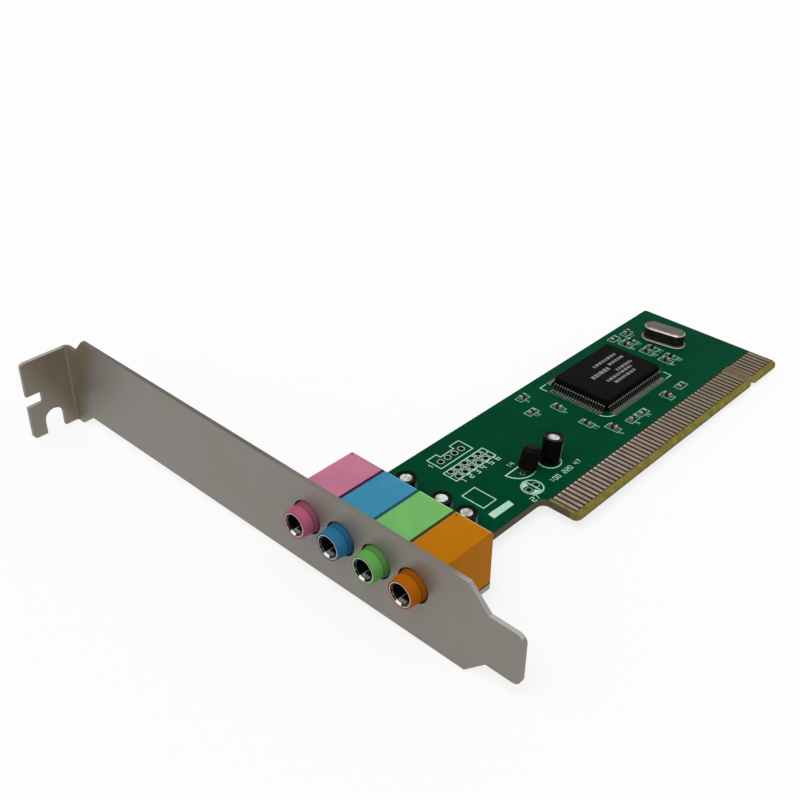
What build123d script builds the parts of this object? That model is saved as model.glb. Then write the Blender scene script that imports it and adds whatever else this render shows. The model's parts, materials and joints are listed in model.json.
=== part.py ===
from build123d import *
import math
import os

os.makedirs("parts", exist_ok=True)

# A PCI sound card lying component side up, in millimetres.
# The origin is on the card edge: in the middle of the key slot, on the bevelled tip,
# halfway through the board.
# +X runs along the board away from the bracket, +Y from the card edge up to the bracket's tab,
# and +Z out of the component side.

# Card edge
contact_pitch = 1.27
contact_width = 0.85
contact_length = 5.4
contact_plating = 0.06
contact_count = 58
key_first = 50
key_positions = 2
key_width = 1.9
key_depth = 7.0
tongue_depth = 8.25
tongue_fillet = 1.6
tongue_start_margin = 1.4
tongue_end_margin = 1.0
bevel_length = 1.15
bevel_angle = 20.0
contact_tip_gap = 0.1
tip_corner = 0.8

# Circuit board
board_thickness = 1.57
board_height = 26.0
board_to_bracket = 0.5
first_contact_from_bracket = 41.0
skirt_depth = 7.6
skirt_past_jacks = 0.3
skirt_fillet = 1.0
board_corner = 0.6
pin_clearance = 0.12
lead_tail = 1.1

# Wires, small holes and rivets are round in use, and have few flat sides here
wire_side_count = 6
rivet_side_count = 8

# Bracket: a bent plate with a tab, a tongue and two feet
bracket_thickness = 0.86
bracket_width = 18.42
bracket_length = 120.02
bracket_above_board = 14.3
bracket_top_from_edge = 94.4
bracket_bend = 0.5
tab_depth = 11.43
tab_offset = 3.17
tab_width = 18.0
tab_corner = 0.9
neck_to_shoulder = 7.2
neck_front_length = 3.9
neck_back_length = 3.0
screw_slot_width = 4.42
screw_slot_depth = 5.2
screw_slot_from_edge = 5.4
tab_notch_width = 2.6
tab_notch_depth = 3.4
tab_notch_from_corner = 9.0
guide_width = 10.19
guide_length = 6.8
guide_corner = 1.6
foot_width = 4.2
foot_run = 1.9
foot_rise_run = 1.7
foot_flat = 5.2

# Rivets through the feet
rivet_diameter = 2.0
rivet_head_diameter = 3.6
rivet_head_height = 0.4
rivet_clearance = 0.1
rivet_from_bracket = 7.0

# Jacks, from the tongue end of the bracket to its tab
jack_names = ["rear", "front", "line_in", "mic"]
jack_pitch = 8.2
jack_gap = 0.2
jack_height = 10.8
jack_back = 15.0
jack_row_low = -7.5
jack_to_bracket = 0.14
jack_wall = 0.9
jack_front_wall = 1.3
jack_edge = 0.25
jack_axis_height = 6.6
nose_diameter = 6.0
nose_tip_diameter = 5.2
nose_reach = 3.0
nose_clearance = 0.3
mouth_diameter = 4.3
mouth_depth = 0.35
bore_diameter = 3.6

# Spring contacts in each jack
strip_thickness = 0.3
strip_clearance = 0.03
blade_width = 0.7
sleeve_width = 1.5
sleeve_from_front = 0.45
sleeve_leg_from_wall = 2.2
sleeve_shoulder_height = 2.6
spring_width = 2.0
spring_side_gap = 0.2
ring_arm_length = 5.6
ring_leg_from_bracket = 9.6
ring_touch_radius = 1.55
tip_arm_length = 4.6
tip_leg_from_bracket = 13.2
tip_touch_radius = 1.2

# Controller chip
chip_length = 20.0
chip_width = 14.0
chip_height = 2.8
chip_standoff = 0.25
chip_parting = 1.45
chip_draft = 9.0
chip_corner = 0.6
chip_edge = 0.2
chip_dimple = 1.1
chip_dimple_depth = 0.1
chip_dimple_inset = 1.9
chip_from_bracket = 81.1
chip_from_edge = 14.4
chip_lead_pitch = 0.65
chip_lead_count_x = 30
chip_lead_count_y = 20
chip_lead_width = 0.3
chip_lead_thickness = 0.16
chip_lead_reach = 1.6
chip_lead_foot = 0.85

# Crystal
crystal_length = 9.5
crystal_width = 3.8
crystal_height = 3.5
crystal_flange = 0.4
crystal_base_thickness = 0.6
crystal_edge = 0.45
crystal_lead_count = 2
crystal_lead_pitch = 4.88
crystal_lead_diameter = 0.43
crystal_from_bracket = 104.6
crystal_from_edge = 14.9
crystal_turn = 8.5

# Electrolytic capacitors
capacitor_diameter = 4.0
capacitor_height = 5.2
capacitor_sleeve = 0.12
capacitor_lip = 0.65
capacitor_lead_count = 2
capacitor_lead_pitch = 1.5
capacitor_lead_diameter = 0.45
coupling_names = ["coupling_capacitor_1", "coupling_capacitor_2", "coupling_capacitor_3"]
coupling_from_bracket = 21.4
coupling_from_edge = [3.4, 9.2, 17.8]
supply_from_bracket = 49.5
supply_from_edge = 5.9
supply_lean = 8.0

# Transistor
transistor_width = 3.8
transistor_depth = 3.1
transistor_height = 4.4
transistor_stand = 0.9
transistor_flat_draft = 4.0
transistor_edge = 0.7
transistor_lean = 15.0
transistor_lead_count = 3
transistor_lead_pitch = 1.27
transistor_lead_width = 0.45
transistor_from_bracket = 44.0
transistor_from_edge = 7.2

# Small surface parts: ceramic capacitors and resistors
small_length = 1.6
small_width = 0.85
small_terminal = 0.35
small_terminal_wall = 0.04
ceramic_height = 0.8
resistor_height = 0.5

# Unfitted places on the board: a four pin header, a two row header and one capacitor
header_pitch = 2.0
header_pins = 4
header_hole = 0.9
header_from_bracket = 37.7
header_from_edge = 20.9
block_pins = 5
block_rows = 2
block_from_bracket = 37.6
block_from_edge = 16.4
spare_from_bracket = 40.6
spare_from_edge = 3.2
spare_hole = 0.7
spare_pitch = 2.2

# Places worked out from the sizes above
board_top = board_thickness / 2
board_bottom = -board_thickness / 2
edge_y = tongue_depth
board_top_y = edge_y + board_height
key_centre = key_first + (key_positions - 1) / 2


def contact_x(position):
    return (position - key_centre) * contact_pitch


bracket_face = contact_x(1) - first_contact_from_bracket
bracket_inner = bracket_face + bracket_thickness
board_front = bracket_inner + board_to_bracket
board_end = contact_x(contact_count) + tongue_end_margin
tongue_start = contact_x(1) - tongue_start_margin
jack_width = jack_pitch - jack_gap
skirt_end = bracket_face + jack_back + skirt_past_jacks
skirt_y = edge_y - skirt_depth
bracket_front_z = board_top + bracket_above_board
bracket_back_z = bracket_front_z - bracket_width
bracket_mid_z = (bracket_front_z + bracket_back_z) / 2
tab_back_z = bracket_back_z - tab_offset
tab_front_z = tab_back_z + tab_width
tab_top_y = edge_y + bracket_top_from_edge
guide_tip_y = tab_top_y - bracket_length
guide_start_y = guide_tip_y + guide_length
guide_taper = (bracket_width - guide_width) / 2
tab_end = bracket_inner - tab_depth
cavity_low = bracket_inner + jack_to_bracket + jack_front_wall
bore_radius = bore_diameter / 2
jack_axis_z = board_top + jack_axis_height


def place(from_bracket, from_edge):
    # A point on the component side, measured from the bracket's face and the board's lower edge
    return Location((bracket_face + from_bracket, edge_y + from_edge, board_top))


def jack_y(index):
    return edge_y + jack_row_low + jack_width / 2 + index * jack_pitch


jack_centres = [jack_y(index) for index in range(len(jack_names))]
riveted_jacks = [jack_centres[0], jack_centres[-1]]
ring_leg_x = bracket_face + ring_leg_from_bracket
tip_leg_x = bracket_face + tip_leg_from_bracket
sleeve_leg_x = cavity_low + sleeve_leg_from_wall
blade_offset = jack_width / 2 - jack_wall - spring_side_gap - strip_thickness / 2
sleeve_blade_offset = jack_width / 2 - jack_wall - spring_side_gap - blade_width / 2
coupling_places = [place(coupling_from_bracket, from_edge) for from_edge in coupling_from_edge]
supply_place = place(supply_from_bracket, supply_from_edge)
crystal_place = place(crystal_from_bracket, crystal_from_edge) * Rot(0, 0, 90 + crystal_turn)
transistor_place = place(transistor_from_bracket, transistor_from_edge)

# Centre of each small part from the bracket and the lower edge, and its turn
ceramic_places = [
    (63.5, 23.4, 0), (65.7, 15.8, 90), (67.5, 3.4, 90), (72.9, 2.3, 0), (85.4, 1.9, 90),
    (97.3, 20.2, 90), (97.9, 15.0, 90), (97.6, 9.9, 90), (101.8, 23.0, 0),
]
resistor_places = [
    (60.6, 18.8, 0), (65.2, 8.2, 90), (76.4, 2.2, 0), (91.0, 2.0, 0),
    (99.6, 20.2, 90), (100.2, 15.0, 90), (100.0, 10.0, 90), (97.6, 23.6, 0),
]

nodes = {}


def sharp_strip(points, thickness):
    # A sheet metal profile of constant thickness with sharp bends at the points
    spots = [Vector(*point) for point in points]
    ways = [(after - spot).normalized() for spot, after in zip(spots, spots[1:])]
    sides = [Vector(-way.Y, way.X) * (thickness / 2) for way in ways]
    mitres = [sides[0]]
    for side, after in zip(sides, sides[1:]):
        middle = (side + after) / 2
        mitres.append(middle * (side.dot(side) / middle.dot(middle)))
    mitres.append(sides[-1])
    left = [spot + mitre for spot, mitre in zip(spots, mitres)]
    right = [spot - mitre for spot, mitre in zip(spots, mitres)]
    return outline(left + right[::-1])


def prism_x(face, low, high):
    # A profile drawn as (Y, Z) pulled along X
    return Plane.YZ.offset(low) * extrude(face, high - low)


def prism_y(face, low, high):
    # A profile drawn as (X, Z) pulled along Y
    return Plane.XZ.offset(-high) * extrude(face, high - low)


def prism_z(face, low, high):
    return Pos(0, 0, low) * extrude(face, high - low)


def outline(points):
    return make_face(Polyline(*points, close=True))


def rounded(face, corners, radius):
    # The face with the vertices that lie at the given points rounded
    chosen = [
        vertex for vertex in face.vertices()
        if any((Vector(vertex.X, vertex.Y) - Vector(*corner)).length < radius / 4 for corner in corners)
    ]
    return fillet(chosen, radius)


def few_sided(diameter, side_count):
    # A round section with few sides, which holds a circle of the given diameter
    return RegularPolygon(diameter / 2, side_count, major_radius=False)


def through_hole(diameter, side_count):
    # A hole through the board or a sheet beside it, centred on the board
    return prism_z(few_sided(diameter, side_count), -2 * board_thickness, 2 * board_thickness)


def lead_hole(diameter):
    return through_hole(diameter + 2 * pin_clearance, wire_side_count)


def circuit_board():
    # The board, a skirt under the jacks and a tongue for the card edge, as one outline
    points = [
        (board_front, skirt_y), (skirt_end, skirt_y), (skirt_end, edge_y), (tongue_start, edge_y),
        (tongue_start, 0), (board_end, 0), (board_end, board_top_y), (board_front, board_top_y),
    ]
    face = rounded(outline(points), [points[2]], skirt_fillet)
    face = rounded(face, [points[3]], tongue_fillet)
    face = rounded(face, [points[4], points[5]], tip_corner)
    face = rounded(face, [points[1], points[6]], board_corner)
    slot = Pos(0, (key_depth - key_width / 2) / 2) * Rectangle(key_width, key_depth - key_width / 2)
    slot += Pos(0, key_depth - key_width / 2) * Circle(key_width / 2)
    board = prism_z(face - slot, board_bottom, board_top)
    # The tip is ground to a bevel on both sides
    cut = bevel_length * math.tan(math.radians(bevel_angle))
    wedge = outline([(0, board_top), (bevel_length, board_top), (0, board_top - cut)])
    reach = board_end - tongue_start
    top_wedge = prism_x(wedge, tongue_start - reach, board_end + reach)
    board -= top_wedge
    board -= mirror(top_wedge, about=Plane.XY)
    for hole in board_holes():
        board -= hole
    return board


def blade_slot(x, y, along_x):
    # A slot for a flat pin, wide along X or along Y
    wide = blade_width + 2 * pin_clearance
    thin = strip_thickness + 2 * pin_clearance
    size = (wide, thin) if along_x else (thin, wide)
    return Pos(x, y, 0) * Box(*size, 2 * board_thickness)


def board_holes():
    holes = []
    for y in jack_centres:
        holes.append(blade_slot(sleeve_leg_x, y - sleeve_blade_offset, False))
        holes.append(blade_slot(ring_leg_x, y + blade_offset, True))
        holes.append(blade_slot(tip_leg_x, y - blade_offset, True))
    for y in riveted_jacks:
        holes.append(Pos(bracket_face + rivet_from_bracket, y, 0) * rivet_hole())
    for where in [*coupling_places, supply_place]:
        for spot in GridLocations(capacitor_lead_pitch, 0, capacitor_lead_count, 1):
            holes.append(where * spot * lead_hole(capacitor_lead_diameter))
    for spot in GridLocations(crystal_lead_pitch, 0, crystal_lead_count, 1):
        holes.append(crystal_place * spot * lead_hole(crystal_lead_diameter))
    across = math.hypot(transistor_lead_width, transistor_lead_width)
    for spot in GridLocations(transistor_lead_pitch, 0, transistor_lead_count, 1):
        holes.append(transistor_place * spot * lead_hole(across))
    bare = through_hole(header_hole, wire_side_count)
    for spot in GridLocations(header_pitch, 0, header_pins, 1):
        holes.append(place(header_from_bracket, header_from_edge) * spot * bare)
    for spot in GridLocations(header_pitch, header_pitch, block_pins, block_rows):
        holes.append(place(block_from_bracket, block_from_edge) * spot * bare)
    spare = through_hole(spare_hole, wire_side_count)
    for spot in GridLocations(spare_pitch, 0, capacitor_lead_count, 1):
        holes.append(place(spare_from_bracket, spare_from_edge) * spot * spare)
    return holes


def edge_contacts(side):
    # Flat plated contacts on one face of the tongue, none beside the key slot
    low = bevel_length + contact_tip_gap
    z = side * (board_top + contact_plating / 2)
    pad = Box(contact_width, contact_length, contact_plating)
    keyed = range(key_first, key_first + key_positions)
    fitted = [position for position in range(1, contact_count + 1) if position not in keyed]
    return [Pos(contact_x(position), low + contact_length / 2, z) * pad for position in fitted]


def bracket():
    # The plate's outline seen along X: neck, shoulders, plate, tapers and the guide at its foot
    shoulder_y = tab_top_y - neck_to_shoulder
    taper_y = guide_start_y + guide_taper
    guide_low = bracket_mid_z - guide_width / 2
    guide_high = bracket_mid_z + guide_width / 2
    plate_points = [
        (tab_top_y, tab_front_z), (tab_top_y - neck_front_length, tab_front_z),
        (shoulder_y, bracket_front_z), (taper_y, bracket_front_z), (guide_start_y, guide_high),
        (guide_tip_y, guide_high), (guide_tip_y, guide_low), (guide_start_y, guide_low),
        (taper_y, bracket_back_z), (shoulder_y, bracket_back_z),
        (tab_top_y - neck_back_length, tab_back_z), (tab_top_y, tab_back_z),
    ]
    plate_face = rounded(outline(plate_points), plate_points[5:7], guide_corner)
    # The tab's outline seen along Y, with the screw slot open to one side and a notch in its end
    tab_points = [
        (bracket_inner, tab_back_z), (tab_end, tab_back_z),
        (tab_end, tab_front_z), (bracket_inner, tab_front_z),
    ]
    tab_face = rounded(outline(tab_points), tab_points[1:3], tab_corner)
    slot_x = tab_end + screw_slot_from_edge
    slot_round = tab_back_z + screw_slot_depth - screw_slot_width / 2
    tab_face -= Pos(slot_x, slot_round) * Circle(screw_slot_width / 2)
    tab_face -= Pos(slot_x, slot_round - screw_slot_depth / 2) * Rectangle(screw_slot_width, screw_slot_depth)
    notch_z = tab_front_z - tab_notch_from_corner
    tab_face -= Pos(tab_end + tab_notch_depth / 2, notch_z) * Rectangle(tab_notch_depth, tab_notch_width)
    # One bent strip holds both faces
    half = bracket_thickness / 2
    bend_line = [
        (bracket_face + half, guide_tip_y),
        (bracket_face + half, tab_top_y - half),
        (tab_end, tab_top_y - half),
    ]
    line = FilletPolyline(*bend_line, radius=bracket_bend + half)
    sheet = prism_z(trace(line, line_width=bracket_thickness), tab_back_z, bracket_front_z)
    body = sheet & prism_x(plate_face, bracket_face - bracket_bend, bracket_inner)
    body += sheet & prism_y(tab_face, tab_top_y - bracket_thickness - bracket_bend, tab_top_y)
    hole = Rot(0, 90, 0) * Cylinder(nose_diameter / 2 + nose_clearance, 4 * bracket_thickness)
    for y in jack_centres:
        body -= Pos(bracket_face, y, jack_axis_z) * hole
    for y in riveted_jacks:
        body += foot(y)
    return body


def foot(y):
    # A flange turned in from the plate's back edge and stepped up under the board
    half = bracket_thickness / 2
    low_z = bracket_back_z + half
    seat_z = board_bottom - half
    start_x = bracket_face + half
    rise_x = start_x + foot_run
    flat_x = rise_x + foot_rise_run
    line = [
        (start_x, low_z + foot_run), (start_x, low_z), (rise_x, low_z),
        (flat_x, seat_z), (flat_x + foot_flat, seat_z),
    ]
    flange = prism_y(sharp_strip(line, bracket_thickness), y - foot_width / 2, y + foot_width / 2)
    return flange - Pos(bracket_face + rivet_from_bracket, y, 0) * rivet_hole()


def rivet_hole():
    return through_hole(rivet_diameter + 2 * rivet_clearance, rivet_side_count)


def rivet(y):
    # A rivet with a head under the foot and a closed head on the component side
    low = board_bottom - bracket_thickness
    shank = few_sided(rivet_diameter, rivet_side_count)
    head = few_sided(rivet_head_diameter, rivet_side_count)
    body = prism_z(shank, low, board_top)
    body += prism_z(head, low - rivet_head_height, low)
    body += prism_z(head, board_top, board_top + rivet_head_height)
    return Pos(bracket_face + rivet_from_bracket, y, 0) * body


def jack_housing(y):
    # A moulded shell open underneath, with a round nose that passes through the bracket
    front = bracket_inner + jack_to_bracket
    back = bracket_face + jack_back
    tip = bracket_face - nose_reach
    shell = Box(back - front, jack_width, jack_height)
    shell = Pos((front + back) / 2, y, board_top + jack_height / 2) * shell
    shell = chamfer(shell.faces().sort_by(Axis.Z)[-1].edges(), jack_edge)
    across = Rot(0, 90, 0)
    axis_point = Pos(0, y, jack_axis_z)
    nose_length = front - tip
    nose = across * Cone(nose_tip_diameter / 2, nose_diameter / 2, nose_length)
    shell += axis_point * Pos(tip + nose_length / 2, 0, 0) * nose
    cavity_high = back - jack_wall
    cavity_width = jack_width - 2 * jack_wall
    cavity = Pos((cavity_low + cavity_high) / 2, y, board_top + (jack_height - jack_wall) / 2) * Box(
        cavity_high - cavity_low, cavity_width, jack_height - jack_wall
    )
    bore_length = cavity_low - tip
    bore = across * Cylinder(bore_radius, bore_length)
    mouth = across * Cone(mouth_diameter / 2, bore_radius, mouth_depth)
    groove_low = tip + sleeve_from_front
    groove_depth = strip_thickness + 2 * strip_clearance
    groove = Box(cavity_low - groove_low, sleeve_width + 2 * strip_clearance, bore_radius + groove_depth)
    shell -= cavity
    shell -= axis_point * Pos(tip + bore_length / 2, 0, 0) * bore
    shell -= axis_point * Pos(tip + mouth_depth / 2, 0, 0) * mouth
    shell -= axis_point * Pos((groove_low + cavity_low) / 2, 0, -(bore_radius + groove_depth) / 2) * groove
    return shell


def blade(x, y, top, along_x):
    # A flat pin from a contact down through the board
    low = board_bottom - lead_tail
    size = (blade_width, strip_thickness) if along_x else (strip_thickness, blade_width)
    return Pos(x, y, (low + top) / 2) * Box(*size, top - low)


def sleeve_contact(y):
    # A strip in the floor of the bore that turns down behind the front wall to its pin
    half = strip_thickness / 2
    floor_z = jack_axis_z - bore_radius - strip_clearance - half
    start_x = bracket_face - nose_reach + sleeve_from_front + strip_clearance
    shoulder_z = board_top + sleeve_shoulder_height
    line = [(start_x, floor_z), (sleeve_leg_x, floor_z), (sleeve_leg_x, shoulder_z)]
    arm = prism_y(sharp_strip(line, strip_thickness), y - sleeve_width / 2, y + sleeve_width / 2)
    side_y = y - sleeve_blade_offset - blade_width / 2
    wing_width = y + sleeve_width / 2 - side_y
    wing = Box(strip_thickness, wing_width, blade_width)
    wing = Pos(sleeve_leg_x, side_y + wing_width / 2, shoulder_z) * wing
    return arm + wing + blade(sleeve_leg_x, y - sleeve_blade_offset, shoulder_z, False)


def spring_contact(y, side, leg_x, arm_length, touch_radius):
    # A leaf along one side of the cavity that bows in to touch the plug, on a flat pin
    outer = side * blade_offset
    touch = side * (touch_radius + strip_thickness / 2)
    bow_x = leg_x - arm_length / 2
    line = [
        (leg_x + blade_width / 2, y + outer), (leg_x - blade_width, y + outer),
        (bow_x, y + touch), (leg_x - arm_length, y + (outer + touch) / 2),
    ]
    leaf_face = sharp_strip(line, strip_thickness)
    leaf = prism_z(leaf_face, jack_axis_z - spring_width / 2, jack_axis_z + spring_width / 2)
    return leaf + blade(leg_x, y + outer, jack_axis_z + spring_width / 2, True)


def chip_body():
    plan = Rectangle(chip_length, chip_width)
    plan = chamfer(plan.vertices(), chip_corner)
    rise = chip_height - chip_parting
    upper = extrude(plan, rise, taper=chip_draft)
    upper = chamfer(upper.faces().sort_by(Axis.Z)[-1].edges(), chip_edge)
    lower = extrude(plan, chip_standoff - chip_parting, taper=chip_draft)
    dimple_x = chip_dimple_inset - chip_length / 2
    dimple_y = chip_dimple_inset - chip_width / 2
    dimple = prism_z(few_sided(chip_dimple, rivet_side_count), rise - chip_dimple_depth, rise)
    body = upper + lower - Pos(dimple_x, dimple_y, 0) * dimple
    return place(chip_from_bracket, chip_from_edge) * Pos(0, 0, chip_parting) * body


def chip_leads():
    # Gull wing leads: out of the parting line, down to the board and out to a flat foot
    foot_start = chip_lead_reach - chip_lead_foot
    root_low = chip_parting - 2 * chip_lead_thickness
    profile = outline([
        (0, chip_parting), (foot_start, chip_lead_thickness), (chip_lead_reach, chip_lead_thickness),
        (chip_lead_reach, 0), (foot_start - chip_lead_thickness, 0), (0, root_low),
    ])
    lead = prism_y(profile, -chip_lead_width / 2, chip_lead_width / 2)
    leads = []
    middle = place(chip_from_bracket, chip_from_edge)
    for turn, count, reach in [
        (0, chip_lead_count_y, chip_length / 2), (90, chip_lead_count_x, chip_width / 2),
        (180, chip_lead_count_y, chip_length / 2), (270, chip_lead_count_x, chip_width / 2),
    ]:
        for spot in GridLocations(0, chip_lead_pitch, 1, count):
            leads.append(middle * Rot(0, 0, turn) * Pos(reach, 0, 0) * spot * lead)
    return leads


def crystal_can():
    can = extrude(SlotOverall(crystal_length, crystal_width), crystal_height - crystal_base_thickness)
    can = chamfer(can.faces().sort_by(Axis.Z)[-1].edges(), crystal_edge)
    return crystal_place * Pos(0, 0, crystal_base_thickness) * can


def crystal_base():
    # The flange that the can is welded to
    flange = SlotOverall(crystal_length + 2 * crystal_flange, crystal_width + 2 * crystal_flange)
    return crystal_place * extrude(flange, crystal_base_thickness)


def crystal_leads():
    # Round wires from the base down through the board
    wire = prism_z(few_sided(crystal_lead_diameter, wire_side_count), -board_thickness - lead_tail, 0)
    spots = GridLocations(crystal_lead_pitch, 0, crystal_lead_count, 1)
    return [crystal_place * spot * wire for spot in spots]


def capacitor_seat(where, lean):
    # The middle of a can's underside, raised where the can leans over on its lower rim
    return where * Pos(0, 0, capacitor_diameter / 2 * math.sin(math.radians(lean))) * Rot(0, lean, 0)


def capacitor_can(where, lean):
    # A sealed can that stands on the board
    radius = capacitor_diameter / 2 - capacitor_sleeve
    return capacitor_seat(where, lean) * prism_z(Circle(radius), 0, capacitor_height - capacitor_sleeve)


def capacitor_leads(where, lean):
    # Round wires from the can's underside down through the board
    high = capacitor_diameter * math.tan(math.radians(lean))
    wire = prism_z(few_sided(capacitor_lead_diameter, wire_side_count), -board_thickness - lead_tail, high)
    can = capacitor_can(where, lean)
    spots = GridLocations(capacitor_lead_pitch, 0, capacitor_lead_count, 1)
    return [where * spot * wire - can for spot in spots]


def capacitor_sleeve_tube(where, lean):
    # A shrunk tube around the can that folds over its top rim
    outer = capacitor_diameter / 2
    inner = outer - capacitor_sleeve
    can_top = capacitor_height - capacitor_sleeve
    profile = outline([
        (inner, 0), (outer, 0), (outer, capacitor_height), (outer - capacitor_lip, can_top), (inner, can_top),
    ])
    return capacitor_seat(where, lean) * revolve(Plane.XZ * profile, Axis.Z)


def transistor_body():
    # A round back cut by a flat face, on the side away from the card edge, leaning on its leads
    radius = transistor_width / 2
    flat_y = transistor_depth - radius
    plan = Circle(radius)
    plan -= Pos(0, flat_y + radius) * Rectangle(2 * transistor_width, 2 * radius)
    body = extrude(plan, transistor_height)
    round_edge = body.faces().sort_by(Axis.Z)[-1].edges().filter_by(GeomType.CIRCLE)
    body = chamfer(round_edge, transistor_edge)
    lean = transistor_height * math.tan(math.radians(transistor_flat_draft))
    wedge = outline([(flat_y, transistor_height), (flat_y - lean, transistor_height), (flat_y, 0)])
    body -= prism_x(wedge, -transistor_width, transistor_width)
    return transistor_place * Pos(0, 0, transistor_stand) * Rot(0, transistor_lean, 0) * body


def transistor_leads():
    # Wires from the board up to the underside of the leaning body
    high = transistor_stand + transistor_width * math.tan(math.radians(transistor_lean))
    wire = Rectangle(transistor_lead_width, transistor_lead_width)
    wire = prism_z(wire, -board_thickness - lead_tail, high)
    body = transistor_body()
    spots = GridLocations(transistor_lead_pitch, 0, transistor_lead_count, 1)
    return [transistor_place * spot * wire - body for spot in spots]


def small_bodies(places, height):
    long = small_length - 2 * small_terminal
    wrap = 2 * small_terminal_wall
    block = Pos(0, 0, height / 2) * Box(long, small_width - wrap, height - wrap)
    return [place(x, y) * Rot(0, 0, turn) * block for x, y, turn in places]


def small_terminals(places, height):
    # Plated ends of each body
    cap = Pos(small_length / 2 - small_terminal / 2, 0, height / 2) * Box(small_terminal, small_width, height)
    caps = []
    for x, y, turn in places:
        caps.append(place(x, y) * Rot(0, 0, turn) * cap)
        caps.append(place(x, y) * Rot(0, 0, turn + 180) * cap)
    return caps


nodes["circuit_board"] = circuit_board()
nodes["edge_contacts_component_side"] = edge_contacts(1)
nodes["edge_contacts_solder_side"] = edge_contacts(-1)
nodes["bracket"] = bracket()
nodes["bracket_rivets"] = [rivet(y) for y in riveted_jacks]
for name, y in zip(jack_names, jack_centres):
    nodes[f"{name}_jack_housing"] = jack_housing(y)
    nodes[f"{name}_jack_sleeve_contact"] = sleeve_contact(y)
    nodes[f"{name}_jack_ring_contact"] = spring_contact(y, 1, ring_leg_x, ring_arm_length, ring_touch_radius)
    nodes[f"{name}_jack_tip_contact"] = spring_contact(y, -1, tip_leg_x, tip_arm_length, tip_touch_radius)
nodes["controller_chip_body"] = chip_body()
nodes["controller_chip_leads"] = chip_leads()
nodes["crystal_can"] = crystal_can()
nodes["crystal_base"] = crystal_base()
nodes["crystal_leads"] = crystal_leads()
capacitors = [(name, where, 0) for name, where in zip(coupling_names, coupling_places)]
capacitors.append(("supply_capacitor", supply_place, supply_lean))
for name, where, lean in capacitors:
    nodes[f"{name}_can"] = capacitor_can(where, lean)
    nodes[f"{name}_sleeve"] = capacitor_sleeve_tube(where, lean)
    nodes[f"{name}_leads"] = capacitor_leads(where, lean)
nodes["transistor_body"] = transistor_body()
nodes["transistor_leads"] = transistor_leads()
nodes["ceramic_capacitor_bodies"] = small_bodies(ceramic_places, ceramic_height)
nodes["ceramic_capacitor_terminals"] = small_terminals(ceramic_places, ceramic_height)
nodes["chip_resistor_bodies"] = small_bodies(resistor_places, resistor_height)
nodes["chip_resistor_terminals"] = small_terminals(resistor_places, resistor_height)

for name, shape in nodes.items():
    solids = shape if isinstance(shape, list) else [shape]
    export_step(Compound(children=solids) if len(solids) > 1 else solids[0], f"parts/{name}.step")
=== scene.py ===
import json
import math
import bmesh
import bpy
from mathutils import Matrix, Vector


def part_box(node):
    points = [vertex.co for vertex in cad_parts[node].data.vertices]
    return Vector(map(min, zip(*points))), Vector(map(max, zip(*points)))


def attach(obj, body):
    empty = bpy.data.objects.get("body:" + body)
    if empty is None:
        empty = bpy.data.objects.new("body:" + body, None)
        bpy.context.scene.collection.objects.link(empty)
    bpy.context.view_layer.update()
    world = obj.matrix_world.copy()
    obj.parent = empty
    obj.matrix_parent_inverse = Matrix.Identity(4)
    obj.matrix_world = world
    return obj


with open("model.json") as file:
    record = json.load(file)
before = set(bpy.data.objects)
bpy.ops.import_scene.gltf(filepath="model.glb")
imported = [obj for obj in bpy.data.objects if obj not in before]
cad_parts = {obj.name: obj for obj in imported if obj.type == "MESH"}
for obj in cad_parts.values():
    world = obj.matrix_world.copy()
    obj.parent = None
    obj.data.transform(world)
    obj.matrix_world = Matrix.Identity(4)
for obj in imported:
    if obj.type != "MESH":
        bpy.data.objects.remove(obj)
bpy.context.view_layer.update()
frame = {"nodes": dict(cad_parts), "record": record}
scene = bpy.context.scene

# Sizes are in millimetres and turned into metres where a vertex or a shader's value is set
MM = 0.001

# Places on the board are measured from the bracket's face and from the board's lower edge
board_from_bracket = 1.36
tongue_depth = 8.25
tongue_from_bracket = 39.6
tongue_corner = 1.45
holes_from_bracket = 17.0
holes_from_end = 1.0
holes_from_sides = 0.8

board_low, board_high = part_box("circuit_board")
bracket_face = board_low.x / MM - board_from_bracket
lower_edge = board_low.y / MM + tongue_depth
top_z = board_high.z / MM
bottom_z = board_low.z / MM

# Card edge: heights above the tip and widths along it
bevel_length = 1.15
bevel_glow = 0.75
skirt_line = 0.95
mask_line = 6.95
pale_line = 6.35
key_half_width = 1.35
contact_pitch = 1.27
contact_margin = 0.25
side_shade_width = 0.265

# Laminate: periods of its weave and of the layers in its edge
weave_period = 0.45
layer_period = 0.22

# Bracket: reach of the brown stain and of the painted light by the bend, and where its edge changes along Y
tab_stain_reach = 3.1
tab_stain_slant = 0.65
plate_stain_reach = 5.2
plate_stain_slant = 0.35
stain_softness = 2.5
bend_light_start = 1.0
bend_light_end = 6.0
bend_from_face = 0.55
bend_softness = 0.65
bare_plate_y = 37.0
guide_y = -5.0

# Feet of the bracket under the board, measured from their rivets
foot_past_rivet = 2.23
foot_half_width = 2.1

# Jacks: places along the nose are measured from its tip
jack_axis_height = 6.6
jack_bore_radius = 1.84
jack_mouth_radius = 2.15
jack_ring_radius = 2.28
jack_glint_drop = 1.6
jack_glint_left = 0.2
jack_glint_right = 0.9
nose_line = 1.95
nose_line_width = 0.2
nose_end = 4.0
back_highlight_width = 0.4
mouth_depth = 1.2
contact_dark_height = 1.5

# Controller chip and crystal: heights above the board, and small distances measured from other heights
chip_top = 2.8
chip_parting = 1.45
lead_foot_height = 0.25
lead_shoulder = 0.2
crystal_base_height = 0.6
crystal_flange_line = 0.3
crystal_bevel = 0.45
crystal_highlight_width = 0.26

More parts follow.
